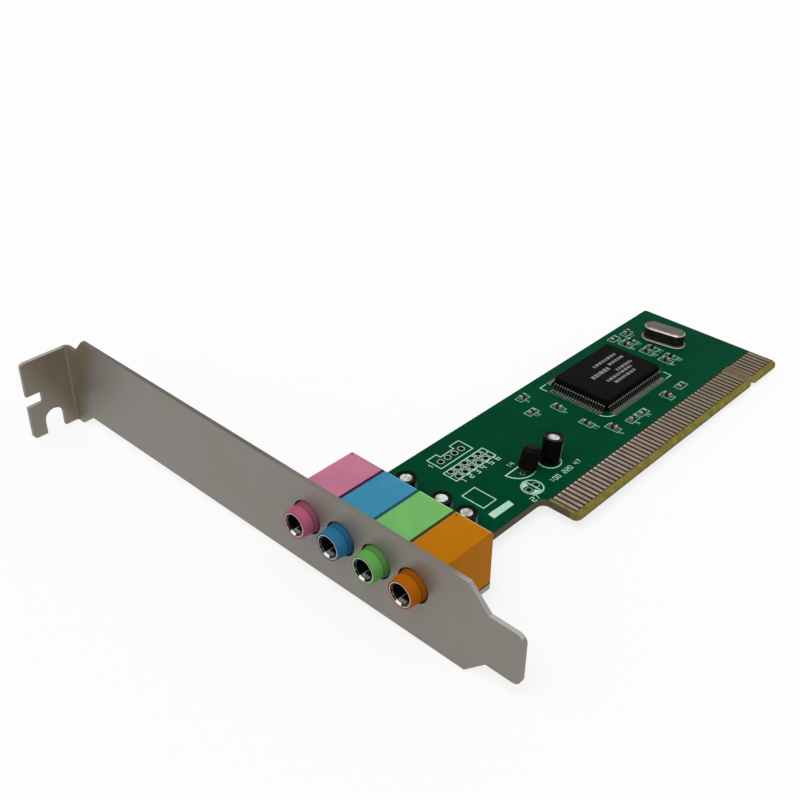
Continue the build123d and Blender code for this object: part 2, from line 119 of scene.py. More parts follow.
# Capacitors: radii of the sleeve, the disc at its top and the printed ring; places with a lean in degrees
capacitor_radius = 2.0
capacitor_disc_radius = 1.12
capacitor_ring_radius = 2.32
capacitors = [(21.4, 3.4, 0.0), (21.4, 9.2, 0.0), (21.4, 17.8, 0.0), (49.5, 5.9, 8.0)]

# Unfitted places: a four pin header, a two row header and one capacitor
hole_pitch = 2.0
header_middle = (37.7, 20.9)
block_middle = (37.6, 16.4)
block_columns = range(-2, 3)
spare_middle = (40.6, 3.25)
spare_ring_radius = 2.15
spare_spots = [(39.5, 3.2), (41.7, 3.2)]
header_spots = [(header_middle[0] + hole_pitch * step, header_middle[1]) for step in (-1.5, -0.5, 0.5, 1.5)]
block_spots = [
    (block_middle[0] + hole_pitch * column, block_middle[1] + hole_pitch * row)
    for column in block_columns for row in (-0.5, 0.5)
]

# Thin layers on the board
layer_sink = 0.01
trace_height = 0.012
pad_height = 0.022
ink_height = 0.03
ink_line = 0.22
fine_line = 0.18
ink_low = top_z - layer_sink
ink_high = top_z + ink_height
top_pad = (top_z - layer_sink, top_z + pad_height)
bottom_pad = (bottom_z - pad_height, bottom_z + layer_sink)
top_trace = (top_z - layer_sink, top_z + trace_height)
bottom_trace = (bottom_z - trace_height, bottom_z + layer_sink)

# The range of a noise's values over which one colour gives way to another
noise_low = 0.3
noise_high = 0.7


def tone(red, green, blue):
    # A screen colour, each part 0 to 255, as the linear values that a shader takes
    def linear(value):
        value /= 255
        return value / 12.92 if value <= 0.04045 else ((value + 0.055) / 1.055) ** 2.4

    return (linear(red), linear(green), linear(blue), 1.0)


class Finish:
    # A node material: noises, masks and bumps that feed one shader

    def __init__(self, name, roughness, metallic=0.0, specular=0.5):
        self.material = bpy.data.materials.new(name)
        self.material.use_nodes = True
        self.nodes = self.material.node_tree.nodes
        self.links = self.material.node_tree.links
        self.shader = self.nodes["Principled BSDF"]
        self.shader.inputs["Roughness"].default_value = roughness
        self.shader.inputs["Metallic"].default_value = metallic
        self.shader.inputs["Specular IOR Level"].default_value = specular
        coordinates = self.nodes.new("ShaderNodeTexCoord")
        self.point = coordinates.outputs["Object"]
        self.normal = coordinates.outputs["Normal"]

    def feed(self, socket, value):
        if isinstance(value, bpy.types.NodeSocket):
            self.links.new(value, socket)
        else:
            socket.default_value = value

    def split(self, vector):
        node = self.nodes.new("ShaderNodeSeparateXYZ")
        self.links.new(vector, node.inputs[0])
        return node.outputs

    def math(self, operation, first, second=0.0):
        node = self.nodes.new("ShaderNodeMath")
        node.operation = operation
        self.feed(node.inputs[0], first)
        self.feed(node.inputs[1], second)
        return node.outputs[0]

    def both(self, first, second):
        # One mask within another, or a share of a mask
        return self.math("MULTIPLY", first, second)

    def other(self, mask):
        # One where the mask is zero
        return self.math("SUBTRACT", 1.0, mask)

    def distance(self, first, first_middle, second, second_middle):
        # How far a point lies from an axis, by its two coordinates across the axis
        across = self.math("POWER", self.math("SUBTRACT", first, first_middle), 2.0)
        along = self.math("POWER", self.math("SUBTRACT", second, second_middle), 2.0)
        return self.math("SQRT", self.math("ADD", across, along))

    def noise(self, size, detail, stretch=(1.0, 1.0, 1.0)):
        # Soft spots of about the given size in millimetres
        place = self.nodes.new("ShaderNodeMapping")
        self.links.new(self.point, place.inputs["Vector"])
        place.inputs["Scale"].default_value = stretch
        node = self.nodes.new("ShaderNodeTexNoise")
        self.links.new(place.outputs[0], node.inputs["Vector"])
        node.inputs["Scale"].default_value = 1 / (size * MM)
        node.inputs["Detail"].default_value = detail
        return node.outputs[0]

    def ridges(self, period, direction):
        # Even ridges along one axis, the period in millimetres
        node = self.nodes.new("ShaderNodeTexWave")
        node.bands_direction = direction
        self.links.new(self.point, node.inputs["Vector"])
        node.inputs["Scale"].default_value = math.pi / (10 * period * MM)
        node.inputs["Distortion"].default_value = 0.6
        return node.outputs["Fac"]

    def step(self, value, low, high, first=0.0, last=1.0):
        # A smooth step from first to last as value goes from low to high
        node = self.nodes.new("ShaderNodeMapRange")
        node.interpolation_type = "SMOOTHSTEP"
        self.feed(node.inputs["Value"], value)
        node.inputs["From Min"].default_value = low
        node.inputs["From Max"].default_value = high
        node.inputs["To Min"].default_value = first
        node.inputs["To Max"].default_value = last
        return node.outputs[0]

    def past(self, value, place, soft):
        # Zero before a place and one after it, in millimetres
        return self.step(value, (place - soft) * MM, (place + soft) * MM)

    def before(self, value, place, soft):
        # One before a place and zero after it, in millimetres
        return self.step(value, (place - soft) * MM, (place + soft) * MM, 1.0, 0.0)

    def band(self, value, low, high, soft):
        # One between low and high and zero outside, in millimetres
        return self.both(self.past(value, low, soft), self.before(value, high, soft))

    def blend(self, share, first, second):
        node = self.nodes.new("ShaderNodeMix")
        node.data_type = "RGBA"
        self.feed(node.inputs[0], share)
        self.feed(node.inputs[6], first)
        self.feed(node.inputs[7], second)
        return node.outputs[2]

    def mixed(self, spots, first, second):
        # Two colours mixed by soft spots
        return self.blend(self.step(spots, noise_low, noise_high), first, second)

    def colour(self, value):
        self.feed(self.shader.inputs["Base Color"], value)

    def rough(self, value):
        self.feed(self.shader.inputs["Roughness"], value)

    def uneven(self, spots, smoothest, roughest):
        # Roughness that follows soft spots
        self.rough(self.step(spots, noise_low, noise_high, smoothest, roughest))

    def metal(self, value):
        self.feed(self.shader.inputs["Metallic"], value)

    def bump(self, height, depth):
        # Relief of the given depth in millimetres
        node = self.nodes.new("ShaderNodeBump")
        node.inputs["Distance"].default_value = depth * MM
        self.links.new(height, node.inputs["Height"])
        self.links.new(node.outputs[0], self.shader.inputs["Normal"])


def board_finish():
    # Green mask on the faces, bare laminate on the edges, the bevel and between the contacts
    finish = Finish("solder_mask_on_laminate", roughness=0.45, specular=0.01)
    x, y, _ = finish.split(finish.point)
    facing = finish.math("ABSOLUTE", finish.split(finish.normal)[2])
    mottle = finish.noise(9, 3)
    speck = finish.noise(0.6, 2)
    green = finish.mixed(mottle, tone(0, 60, 36), tone(0, 67, 42))
    green = finish.blend(finish.step(speck, 0.45, 0.75, 0, 0.2), green, tone(2, 76, 48))
    weave = finish.both(finish.ridges(weave_period, "X"), finish.ridges(weave_period, "Y"))
    laminate = finish.mixed(finish.noise(1.4, 3), tone(108, 101, 46), tone(131, 123, 60))
    laminate = finish.blend(finish.step(weave, 0.2, 0.9, 0, 0.2), laminate, tone(148, 140, 84))
    gap = finish.mixed(finish.noise(0.8, 2), tone(46, 32, 24), tone(66, 48, 36))
    # The edge: laminate at the tip, a pale tan in the key slot as painted light against its shade, a painted
    # highlight along the skirt's foot, painted shade in the holes
    layers = finish.step(finish.ridges(layer_period, "Z"), 0.2, 0.8)
    edge = finish.blend(layers, tone(74, 69, 54), tone(104, 98, 80))
    on_tongue = finish.past(x, bracket_face + tongue_from_bracket - tongue_corner, 0.05)
    tip = finish.before(y, bevel_length + bevel_glow, bevel_glow)
    edge = finish.blend(finish.both(tip, on_tongue), edge, laminate)
    beside_key = finish.past(finish.math("ABSOLUTE", x), key_half_width, 0.05)
    edge = finish.blend(beside_key, tone(150, 137, 106), edge)
    # Painted highlight along the skirt's foot
    skirt_highlight = finish.both(finish.before(y, skirt_line, 0.1), finish.other(on_tongue))
    edge = finish.blend(skirt_highlight, edge, tone(176, 172, 162))
    # Painted shade on the walls of the holes
    hole_shade_x = finish.band(x, bracket_face + holes_from_bracket, board_high.x / MM - holes_from_end, 0.1)
    hole_shade_y = finish.band(y, lower_edge + holes_from_sides, board_high.y / MM - holes_from_sides, 0.1)
    edge = finish.blend(finish.both(hole_shade_x, hole_shade_y), edge, tone(22, 30, 24))
    # The faces: bare below the mask's line, dark between the contacts
    contact_low, contact_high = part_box("edge_contacts_component_side")
    among = finish.band(x, contact_low.x / MM - contact_margin, contact_high.x / MM + contact_margin, 0.05)
    among = finish.both(among, beside_key)
    gap = finish.blend(among, finish.blend(beside_key, tone(118, 106, 80), laminate), gap)
    masked = finish.math("MAXIMUM", finish.past(y, mask_line, 0.06), finish.other(on_tongue))
    bare = finish.blend(finish.past(y, bevel_length, 0.02), laminate, gap)
    face = finish.blend(masked, bare, green)
    finish.colour(finish.blend(finish.step(facing, 0.5, 0.7), edge, face))
    finish.rough(finish.step(mottle, 0.2, 0.8, 0.38, 0.52))
    finish.bump(finish.math("ADD", weave, speck), 0.004)
    return finish.material


def steel_finish():
    # Rolled plated sheet: fine grain along the plate, faint smudges, and a brown stain about the bend
    finish = Finish("rolled_steel", roughness=0.5, metallic=0.55)
    x, y, z = finish.split(finish.point)
    turn_x, turn_y, lift = finish.split(finish.normal)
    tab_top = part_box("bracket")[1].y / MM
    grain = finish.noise(0.4, 4, (1.0, 0.06, 1.0))
    smudge = finish.noise(16, 4)
    plate = finish.mixed(smudge, tone(125, 120, 112), tone(134, 128, 122))
    plate = finish.blend(finish.step(grain, 0.35, 0.65, 0, 0.08), plate, tone(150, 145, 139))
    brown = finish.mixed(smudge, tone(122, 112, 94), tone(134, 123, 107))
    grey = finish.mixed(smudge, tone(128, 121, 111), tone(140, 133, 124))
    # Painted light beside the bend, where little light falls, and painted shade on the bend's own rounding
    from_bend = finish.math("SUBTRACT", (bracket_face + tab_top) * MM, finish.math("ADD", x, y))
    beside = finish.step(from_bend, bend_light_start * MM, bend_light_end * MM, 0.5, 0.0)
    brown = finish.blend(beside, brown, tone(146, 136, 116))
    rounding_shade = finish.step(finish.math("MULTIPLY", turn_x, turn_y), 0.15, 0.3, 0.0, 0.6)
    brown = finish.blend(rounding_shade, brown, tone(98, 90, 76))
    # The tab is grey at its low outer part and brown towards the bend, and so is the plate's end
    outward = finish.math("ADD", x, finish.math("MULTIPLY", z, tab_stain_slant))
    tab = finish.blend(finish.past(outward, bracket_face - tab_stain_reach, stain_softness), grey, brown)
    upward = finish.math("ADD", y, finish.math("MULTIPLY", z, plate_stain_slant))
    plate = finish.blend(finish.past(upward, tab_top - plate_stain_reach, stain_softness), plate, brown)
    on_plate = finish.past(x, bracket_face - bend_from_face, bend_softness)
    # The sheared upper edge has painted shade, deep along the bare plate and plain by the jacks, and a
    # painted highlight on the guide and tab
    rim = finish.blend(finish.past(y, bare_plate_y, 5.0), tone(114, 109, 102), tone(94, 89, 82))
    rim = finish.blend(finish.past(y, guide_y, 3.0), tone(172, 168, 162), rim)
    rim = finish.blend(on_plate, tone(158, 153, 140), rim)
    sheared = finish.step(lift, 0.6, 0.8)
    finish.colour(finish.blend(sheared, finish.blend(on_plate, tab, plate), rim))
    finish.uneven(smudge, 0.42, 0.56)
    finish.bump(grain, 0.002)
    return finish.material


def plating_finish():
    # Worn contact plating with painted shade along its sides, paler at its inner end and browner away from
    # the bracket
    finish = Finish("contact_plating", roughness=0.42, metallic=0.6)
    x, y, _ = finish.split(finish.point)
    wear = finish.noise(1.1, 3, (1.0, 0.3, 1.0))
    low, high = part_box("edge_contacts_component_side")
    far = finish.step(x, low.x, high.x)
    tan = finish.mixed(wear, tone(134, 120, 108), tone(158, 142, 129))
    worn = finish.mixed(wear, tone(108, 98, 77), tone(128, 116, 92))
    pale = finish.blend(far, tone(182, 190, 174), tone(130, 122, 102))
    plating = finish.blend(finish.past(y, pale_line, 0.15), finish.blend(far, tan, worn), pale)
    # Painted shade along each contact's sides
    side_shade = finish.blend(far, tone(46, 34, 27), tone(58, 47, 36))
    inward = finish.math("PINGPONG", x, contact_pitch / 2 * MM)
    finish.colour(finish.blend(finish.past(inward, side_shade_width, 0.045), side_shade, plating))
    finish.uneven(wear, 0.34, 0.5)
    finish.bump(wear, 0.004)
    return finish.material


def jack_axis(name):
    # The point at the tip of a jack's nose, on its axis
    low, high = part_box(f"{name}_jack_housing")
    return Vector((low.x, (low.y + high.y) / 2, (top_z + jack_axis_height) * MM))


def plastic_finish(name, axis, light, dark, nose_shade, edge, gap_shade):
    # Moulded plastic with painted highlights on its edges and painted shade in the gap beside the next jack,
    # with painted shade on a deeper nose and in the black bore, and a painted highlight round the mouth,
    # bright at its foot
    finish = Finish(name, roughness=0.5, specular=0.03)
    x, y, z = finish.split(finish.point)
    _, turn_y, lift = finish.split(finish.normal)
    tip_x = axis.x / MM
    middle_y = axis.y / MM
    behind = finish.past(x, tip_x + nose_end, 0.5)
    ahead = finish.other(behind)
    mottle = finish.noise(3.5, 3)
    shell = finish.mixed(mottle, dark, light)
    # Painted highlight on the sloping edges, and painted shade on those that face the next jack
    sloping = finish.both(finish.step(lift, 0.5, 0.6), finish.step(lift, 0.8, 0.9, 1.0, 0.0))
    bevel_light_and_shade = finish.blend(finish.step(turn_y, -0.5, -0.3), gap_shade, edge)
    shell = finish.blend(finish.both(sloping, behind), shell, bevel_light_and_shade)
    # A painted highlight along the back edge of the top
    back_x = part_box("mic_jack_housing")[1].x / MM
    back_highlight = finish.band(x, back_x - back_highlight_width, back_x + back_highlight_width, 0.05)
    shell = finish.blend(finish.both(back_highlight, finish.step(lift, 0.9, 0.95)), shell, edge)
    # The nose painted a deeper tone as shade, a painted dark line round it, and painted shade on its root
    # behind the line
    shell = finish.blend(ahead, shell, nose_shade)
    line_x = tip_x + nose_line
    line_end = line_x + nose_line_width
    root = finish.step(x, (line_x + 0.05) * MM, line_end * MM, 0.0, 0.34)
    line = finish.both(finish.band(x, line_x, line_end, 0.06), 0.62)
    root = finish.both(finish.math("MAXIMUM", root, line), ahead)
    shell = finish.blend(root, shell, tone(30, 22, 20))
    # The flat end of the nose, with a painted highlight round its mouth
    front = finish.before(x, tip_x + 0.04, 0.02)
    shell = finish.blend(finish.both(front, 0.4), shell, tone(60, 56, 54))
    radius = finish.distance(y, axis.y, z, axis.z)
    ring_highlight = finish.both(finish.band(radius, jack_mouth_radius, jack_ring_radius, 0.03), front)
    shell = finish.blend(finish.both(ring_highlight, 0.75), shell, tone(226, 216, 206))
    # Painted shade and reflection on the wall of the mouth, a painted glint at its foot, and painted shade
    # for the black bore
    drop = finish.math("SUBTRACT", axis.z, z)
    glint = finish.both(
        finish.past(drop, jack_glint_drop, 0.1),
        finish.band(y, middle_y - jack_glint_left, middle_y + jack_glint_right, 0.1),
    )
    shade_and_reflection = finish.blend(finish.step(finish.noise(0.7, 2), 0.4, 0.7), tone(28, 26, 25), tone(100, 96, 92))
    mouth = finish.both(finish.band(radius, jack_bore_radius, jack_mouth_radius, 0.03), ahead)
    shell = finish.blend(mouth, shell, finish.blend(glint, shade_and_reflection, tone(246, 244, 240)))
    bore_shade = finish.both(finish.before(radius, jack_bore_radius, 0.03), ahead)
    finish.colour(finish.blend(bore_shade, shell, tone(12, 11, 11)))
    finish.rough(finish.step(mottle, 0.2, 0.8, 0.42, 0.56))
    finish.bump(finish.noise(0.25, 2), 0.004)
    return finish.material


def contact_finish():
    # Spring metal, bright at the mouth and on the pins, with painted shade inside the housing
    finish = Finish("jack_contact_metal", roughness=0.3, metallic=0.6)
    x, _, z = finish.split(finish.point)
    streak = finish.noise(0.6, 4)
    bright = finish.mixed(streak, tone(190, 187, 181), tone(226, 224, 219))
    mouth_x = jack_axis("mic").x / MM + mouth_depth
    inside_shade = finish.both(finish.past(x, mouth_x, 0.2), finish.past(z, top_z + contact_dark_height, 0.5))
    finish.colour(finish.blend(inside_shade, bright, tone(34, 31, 29)))
    finish.uneven(streak, 0.22, 0.38)
    finish.bump(streak, 0.004)
    return finish.material


def chip_lead_finish():
    # Tinned leads, grey on the shoulder and the foot, with painted shade on the way down
    finish = Finish("chip_lead", roughness=0.4, metallic=0.6)
    z = finish.split(finish.point)[2]
    grain = finish.noise(0.4, 3)
    foot = finish.mixed(grain, tone(122, 118, 112), tone(150, 146, 139))
    slope_shade = finish.band(z, top_z + lead_foot_height, top_z + chip_parting - lead_shoulder, 0.1)
    finish.colour(finish.blend(slope_shade, foot, tone(20, 18, 18)))
    finish.uneven(grain, 0.34, 0.48)
    finish.bump(grain, 0.004)
    return finish.material


def crystal_finish():
    # Drawn steel case with painted shade on its upright wall, a painted highlight on its rim, and a painted
    # highlight over a painted shadow on the flange
    finish = Finish("crystal_case", roughness=0.34)
    z = finish.split(finish.point)[2]
    lift = finish.math("ABSOLUTE", finish.split(finish.normal)[2])
    streak = finish.noise(0.5, 4, (1.0, 0.15, 1.0))
    top = finish.mixed(streak, tone(72, 65, 58), tone(102, 92, 84))
    shaded_wall = finish.mixed(streak, tone(34, 29, 24), tone(52, 44, 36))
    upward = finish.step(lift, 0.3, 0.4)
    case = finish.blend(upward, shaded_wall, top)
    # Painted highlight along the rim
    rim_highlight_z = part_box("crystal_can")[1].z / MM - crystal_bevel + crystal_highlight_width
    rim = finish.both(upward, finish.step(lift, 0.75, 0.85, 1.0, 0.0))
    rim = finish.both(rim, finish.before(z, rim_highlight_z, 0.04))
    case = finish.blend(rim, case, tone(156, 149, 142))
    # The flange: a painted highlight over a painted shadow on its side, and painted shade on its top
    base_z = top_z + crystal_base_height
    side = finish.past(z, base_z - crystal_flange_line, 0.04)
    side = finish.blend(side, tone(24, 26, 22), tone(236, 232, 224))
    flange = finish.blend(finish.step(lift, 0.6, 0.8), side, tone(72, 68, 62))
    above = finish.past(z, base_z + 0.02, 0.02)
    finish.colour(finish.blend(above, flange, case))
    finish.metal(finish.step(above, 0.0, 1.0, 0.1, 0.6))
    finish.uneven(streak, 0.28, 0.42)
    finish.bump(streak, 0.004)
    return finish.material


def middle_of(points, axis):
    # Halfway between the least and the greatest of the points' values on one axis
    values = [point[axis] for point in points]
    return (min(values) + max(values)) / 2


def can_finish(name):
    # Aluminium top, blotched, with the dark edge of the sleeve drawn in around it
    finish = Finish(name, roughness=0.34, specular=0.05)
    x, y, _ = finish.split(finish.point)
    points = [vertex.co for vertex in frame["nodes"][name].data.vertices]
    top = max(point.z for point in points)
    rim = [point for point in points if point.z > top - capacitor_radius * MM]
    blotch = finish.noise(0.9, 3)
    silver = finish.blend(finish.step(blotch, 0.35, 0.65), tone(152, 158, 153), tone(226, 231, 226))
    radius = finish.distance(x, middle_of(rim, 0), y, middle_of(rim, 1))
    covered = finish.past(radius, capacitor_disc_radius, 0.06)
    finish.colour(finish.blend(covered, silver, tone(8, 8, 9)))
    finish.metal(finish.step(covered, 0.0, 1.0, 0.5, 0.0))
    finish.uneven(blotch, 0.26, 0.42)
    finish.bump(blotch, 0.004)
    return finish.material


def metal_finish(name, light, dark, roughness, spot_size, metallic=0.85):
    # Bare metal with uneven spots
    finish = Finish(name, roughness=roughness, metallic=metallic)
    streak = finish.noise(spot_size, 4)
    finish.colour(finish.mixed(streak, dark, light))
    finish.uneven(streak, roughness - 0.08, roughness + 0.08)
    finish.bump(streak, 0.004)
    return finish.material


def dull_finish(name, light, dark, roughness, spot_size, specular=0.12, depth=0.01):
    # Epoxy, sleeve, ink, mask, glaze or ceramic with a fine grain
    finish = Finish(name, roughness=roughness, specular=specular)
    grain = finish.noise(spot_size, 3)
    finish.colour(finish.mixed(grain, dark, light))
    finish.uneven(grain, roughness - 0.06, roughness + 0.06)
    finish.bump(grain, depth)
    return finish.material


def ink_finish(name, light, dark):
    # Ink printed on the board
    return dull_finish(name, light, dark, roughness=0.6, spot_size=0.35, specular=0.1, depth=0.004)


# Finishes by the record's material slots
finishes = {
    "board_green": board_finish(),
    "contact_plating": plating_finish(),
    "bracket_steel": steel_finish(),
    "rivet_metal": metal_finish(
        "rivet_metal", tone(176, 174, 168), tone(150, 146, 140), roughness=0.4, spot_size=0.8,
    ),
    "jack_orange": plastic_finish(
        "jack_orange", jack_axis("rear"), light=tone(186, 114, 8), dark=tone(180, 110, 4),
        nose_shade=tone(172, 92, 8), edge=tone(220, 176, 108), gap_shade=tone(166, 100, 12),
    ),
    "jack_green": plastic_finish(
        "jack_green", jack_axis("front"), light=tone(116, 183, 104), dark=tone(111, 177, 99),
        nose_shade=tone(98, 163, 82), edge=tone(172, 218, 150), gap_shade=tone(70, 58, 26),
    ),
    "jack_blue": plastic_finish(
        "jack_blue", jack_axis("line_in"), light=tone(62, 140, 174), dark=tone(58, 135, 169),
        nose_shade=tone(44, 110, 150), edge=tone(98, 164, 196), gap_shade=tone(40, 92, 104),
    ),
    "jack_pink": plastic_finish(
        "jack_pink", jack_axis("mic"), light=tone(195, 120, 147), dark=tone(188, 115, 141),
        nose_shade=tone(176, 90, 118), edge=tone(212, 148, 170), gap_shade=tone(62, 34, 68),
    ),
    "jack_contact_metal": contact_finish(),
    "chip_black": dull_finish(
        "chip_epoxy", tone(14, 14, 15), tone(8, 8, 9),
        roughness=0.55, spot_size=0.3, specular=0.02, depth=0.006,
    ),
    "transistor_black": dull_finish(
        "transistor_epoxy", tone(17, 15, 15), tone(9, 8, 8),
        roughness=0.5, spot_size=0.25, specular=0.03, depth=0.006,
    ),
    "tinned_lead": metal_finish(
        "tinned_lead", tone(234, 238, 230), tone(190, 194, 186), roughness=0.35, spot_size=0.4, metallic=0.5,
    ),
    "crystal_case": crystal_finish(),
    "capacitor_sleeve_black": dull_finish(
        "capacitor_sleeve", tone(11, 11, 12), tone(5, 5, 6),
        roughness=0.34, spot_size=1.2, specular=0.04, depth=0.004,
    ),
    "ceramic_tan": dull_finish("ceramic", tone(58, 44, 34), tone(34, 28, 23), roughness=0.6, spot_size=0.3),
    "resistor_black": dull_finish(
        "resistor_glaze", tone(22, 22, 23), tone(12, 12, 13), roughness=0.4, spot_size=0.3,
    ),
}

# Finishes of single nodes, which come before their slot's
small_end = metal_finish(
    "small_part_end", tone(188, 196, 186), tone(134, 142, 133), roughness=0.4, spot_size=0.4, metallic=0.5,
)
node_finishes = {
    "controller_chip_leads": chip_lead_finish(),
    "transistor_leads": metal_finish(
        "dull_lead", tone(88, 88, 84), tone(52, 52, 50), roughness=0.45, spot_size=0.4, metallic=0.5,
    ),
    "ceramic_capacitor_terminals": small_end,
    "chip_resistor_terminals": small_end,
}
for place in ("coupling_capacitor_1", "coupling_capacitor_2", "coupling_capacitor_3", "supply_capacitor"):
    node_finishes[f"{place}_can"] = can_finish(f"{place}_can")

# Finishes of the layers that are added here
ink = ink_finish("printed_ink", tone(190, 228, 206), tone(158, 206, 180))
faint_ink = ink_finish("faint_ink", tone(148, 198, 170), tone(112, 168, 138))
tin = metal_finish(
    "tinned_pad", tone(196, 206, 196), tone(150, 166, 154), roughness=0.4, spot_size=0.5, metallic=0.4,
)
dull_tin = metal_finish(
    "dull_tinned_pad", tone(112, 114, 108), tone(84, 87, 81), roughness=0.45, spot_size=0.5, metallic=0.4,
)
masked_copper = dull_finish(
    "copper_under_mask", tone(1, 74, 47), tone(0, 68, 42),
    roughness=0.45, spot_size=1.5, specular=0.01, depth=0.003,
)
chip_ink = dull_finish(
    "chip_marking", tone(152, 154, 154), tone(92, 94, 94),
    roughness=0.6, spot_size=0.3, specular=0.05, depth=0.003,
)
sleeve_ink = dull_finish(
    "sleeve_marking", tone(120, 122, 122), tone(84, 86, 86),
    roughness=0.5, spot_size=0.6, specular=0.1, depth=0.003,
)
dot_dark = dull_finish(
    "moulding_mark", tone(74, 44, 34), tone(52, 32, 26),
    roughness=0.6, spot_size=0.2, specular=0.1, depth=0.003,
)

for row in frame["record"]["subparts"]:
    name = row["node"]
    mesh = frame["nodes"][name].data
    mesh.materials.clear()
    mesh.materials.append(node_finishes[name] if name in node_finishes else finishes[row["material_slot"]])


def flat(points):
    # Places from the bracket's face and the lower edge, as points of the frame
    return [Vector((bracket_face + across, lower_edge + up)) for across, up in points]


def board_place(point):
    # A point of the frame, as a place on the board
    return (point.x - bracket_face, point.y - lower_edge)


def arc(across, up, radius, start, end, count):
    # Points on a circle about a place on the board, angles in degrees
    turns = [math.radians(start + (end - start) * step / count) for step in range(count + 1)]
    return [(across + radius * math.cos(turn), up + radius * math.sin(turn)) for turn in turns]


def circle(across, up, radius, count):
    return arc(across, up, radius, 0, 360, count)[:-1]


def rectangle(across, up, width, height):
    return [(across + a * width / 2, up + b * height / 2) for a, b in [(-1, -1), (1, -1), (1, 1), (-1, 1)]]


# Strokes of each digit, for a height of one
digit_line = 0.15
digit_advance = 0.95
strokes = {
    "0": [[(0, 0), (0.6, 0), (0.6, 1), (0, 1), (0, -0.05)]],
    "1": [[(0.1, 0.8), (0.3, 1), (0.3, 0)]],
    "2": [[(0, 1), (0.6, 1), (0.6, 0.5), (0, 0.5), (0, 0), (0.65, 0)]],
    "3": [[(0, 1), (0.6, 1), (0.6, 0), (0, 0)], [(0.2, 0.5), (0.6, 0.5)]],
    "4": [[(0, 1), (0, 0.45), (0.65, 0.45)], [(0.5, 1), (0.5, 0)]],
    "5": [[(0.6, 1), (0, 1), (0, 0.5), (0.6, 0.5), (0.6, 0), (-0.05, 0)]],
    "6": [[(0.6, 1), (0, 1), (0, 0), (0.6, 0), (0.6, 0.5), (0, 0.5)]],
    "7": [[(0, 1), (0.6, 1), (0.2, 0)]],
    "8": [[(0, 0), (0.6, 0), (0.6, 1), (0, 1), (0, -0.05)], [(0, 0.5), (0.6, 0.5)]],
    "9": [[(0.6, 0), (0.6, 1), (0, 1), (0, 0.5), (0.6, 0.5)]],
}


class Piece:
    # Closed solids that are gathered into one object and ride on the card

    def __init__(self, name, finish):
        self.name = name
        self.finish = finish
        self.mesh = bmesh.new()

    def skin(self, loops, closed=False):
        # Joins loops of points into a solid, capped at its ends unless it closes on itself
        rows = [[self.mesh.verts.new(point * MM) for point in loop] for loop in loops]
        pairs = list(zip(rows, rows[1:]))
        if closed:
            pairs.append((rows[-1], rows[0]))
        else:
            self.mesh.faces.new(rows[0][::-1])
            self.mesh.faces.new(rows[-1])
        for first, second in pairs:
            for here in range(len(first)):
                after = (here + 1) % len(first)
                self.mesh.faces.new((first[here], first[after], second[after], second[here]))

    def slab(self, points, low, high):
        # A prism over an outline on the board
        self.skin([[Vector((p.x, p.y, z)) for p in flat(points)] for z in (low, high)])

    def line(self, points, width, low, high, closed=False):
        # A strip of even width along a line on the board, with mitred corners
        least_mitre = 0.3
        spots = flat(points)
        ways = [(b - a).normalized() for a, b in zip(spots, spots[1:] + spots[:1])]
        loops = []
        for here, place in enumerate(spots):
            way_in = ways[here - 1]
            way_out = ways[here]
            if not closed and here == 0:
                way_in = way_out
            if not closed and here == len(spots) - 1:
                way_out = way_in
            middle = (way_in + way_out) / 2
            aside = Vector((-middle.y, middle.x)) * (width / 2 / max(middle.length_squared, least_mitre))
            left = place + aside
            right = place - aside
            corners = [(left, low), (right, low), (right, high), (left, high)]
            loops.append([Vector((*side, z)) for side, z in corners])
        self.skin(loops, closed)

    def turned(self, across, up, profile, count=14):
        # A solid turned about an upright axis, from pairs of radius and height
        self.skin([
            [Vector((p.x, p.y, z)) for p in flat(circle(across, up, radius, count))] for radius, z in profile
        ])

    def digits(self, text, across, up, height):
        # Plain numbers printed with strokes, from the lower left corner of the first
        for place, sign in enumerate(text):
            for stroke in strokes.get(sign, []):
                points = [(across + (x + place * digit_advance) * height, up + y * height) for x, y in stroke]
                self.line(points, digit_line * height, ink_low, ink_high)

    def done(self):
        bmesh.ops.recalc_face_normals(self.mesh, faces=self.mesh.faces)
        data = bpy.data.meshes.new(self.name)
        self.mesh.to_mesh(data)
        self.mesh.free()
        data.materials.append(self.finish)
        obj = bpy.data.objects.new(self.name, data)
        scene.collection.objects.link(obj)
        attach(obj, "root")


def islands(name):
    # Boxes of a node's separate solids as pairs of corners, in millimetres
    mesh = bmesh.new()
    mesh.from_mesh(frame["nodes"][name].data)
    bmesh.ops.remove_doubles(mesh, verts=mesh.verts, dist=1e-7)
    waiting = set(mesh.verts)
    boxes = []
    while waiting:
        front = [waiting.pop()]
        found = []
        while front:
            vertex = front.pop()
            found.append(vertex.co / MM)
            for edge in vertex.link_edges:
                other = edge.other_vert(vertex)
                if other in waiting:
                    waiting.remove(other)
                    front.append(other)
        low = Vector(min(point[axis] for point in found) for axis in range(3))
        high = Vector(max(point[axis] for point in found) for axis in range(3))
        boxes.append((low, high))
    mesh.free()
    return sorted(boxes, key=lambda box: tuple(round(value, 3) for value in box[0]))


def pin_ends():
    # Middles of the pins' ends under the board, as places on the board
    end_depth = 0.9
    end_size = 0.9
    ends = []
    for name, node in frame["nodes"].items():
        if not name.endswith(("_contact", "_leads")):
            continue
        groups = []
        for vertex in node.data.vertices:
            point = vertex.co / MM
            if point.z > bottom_z - end_depth:
                continue
            near = [group for group in groups if (group[0] - point).length < end_size]
            if near:
                near[0].append(point)
            else:
                groups.append([point])
        ends += [board_place(Vector((middle_of(group, 0), middle_of(group, 1)))) for group in groups]
    return ends


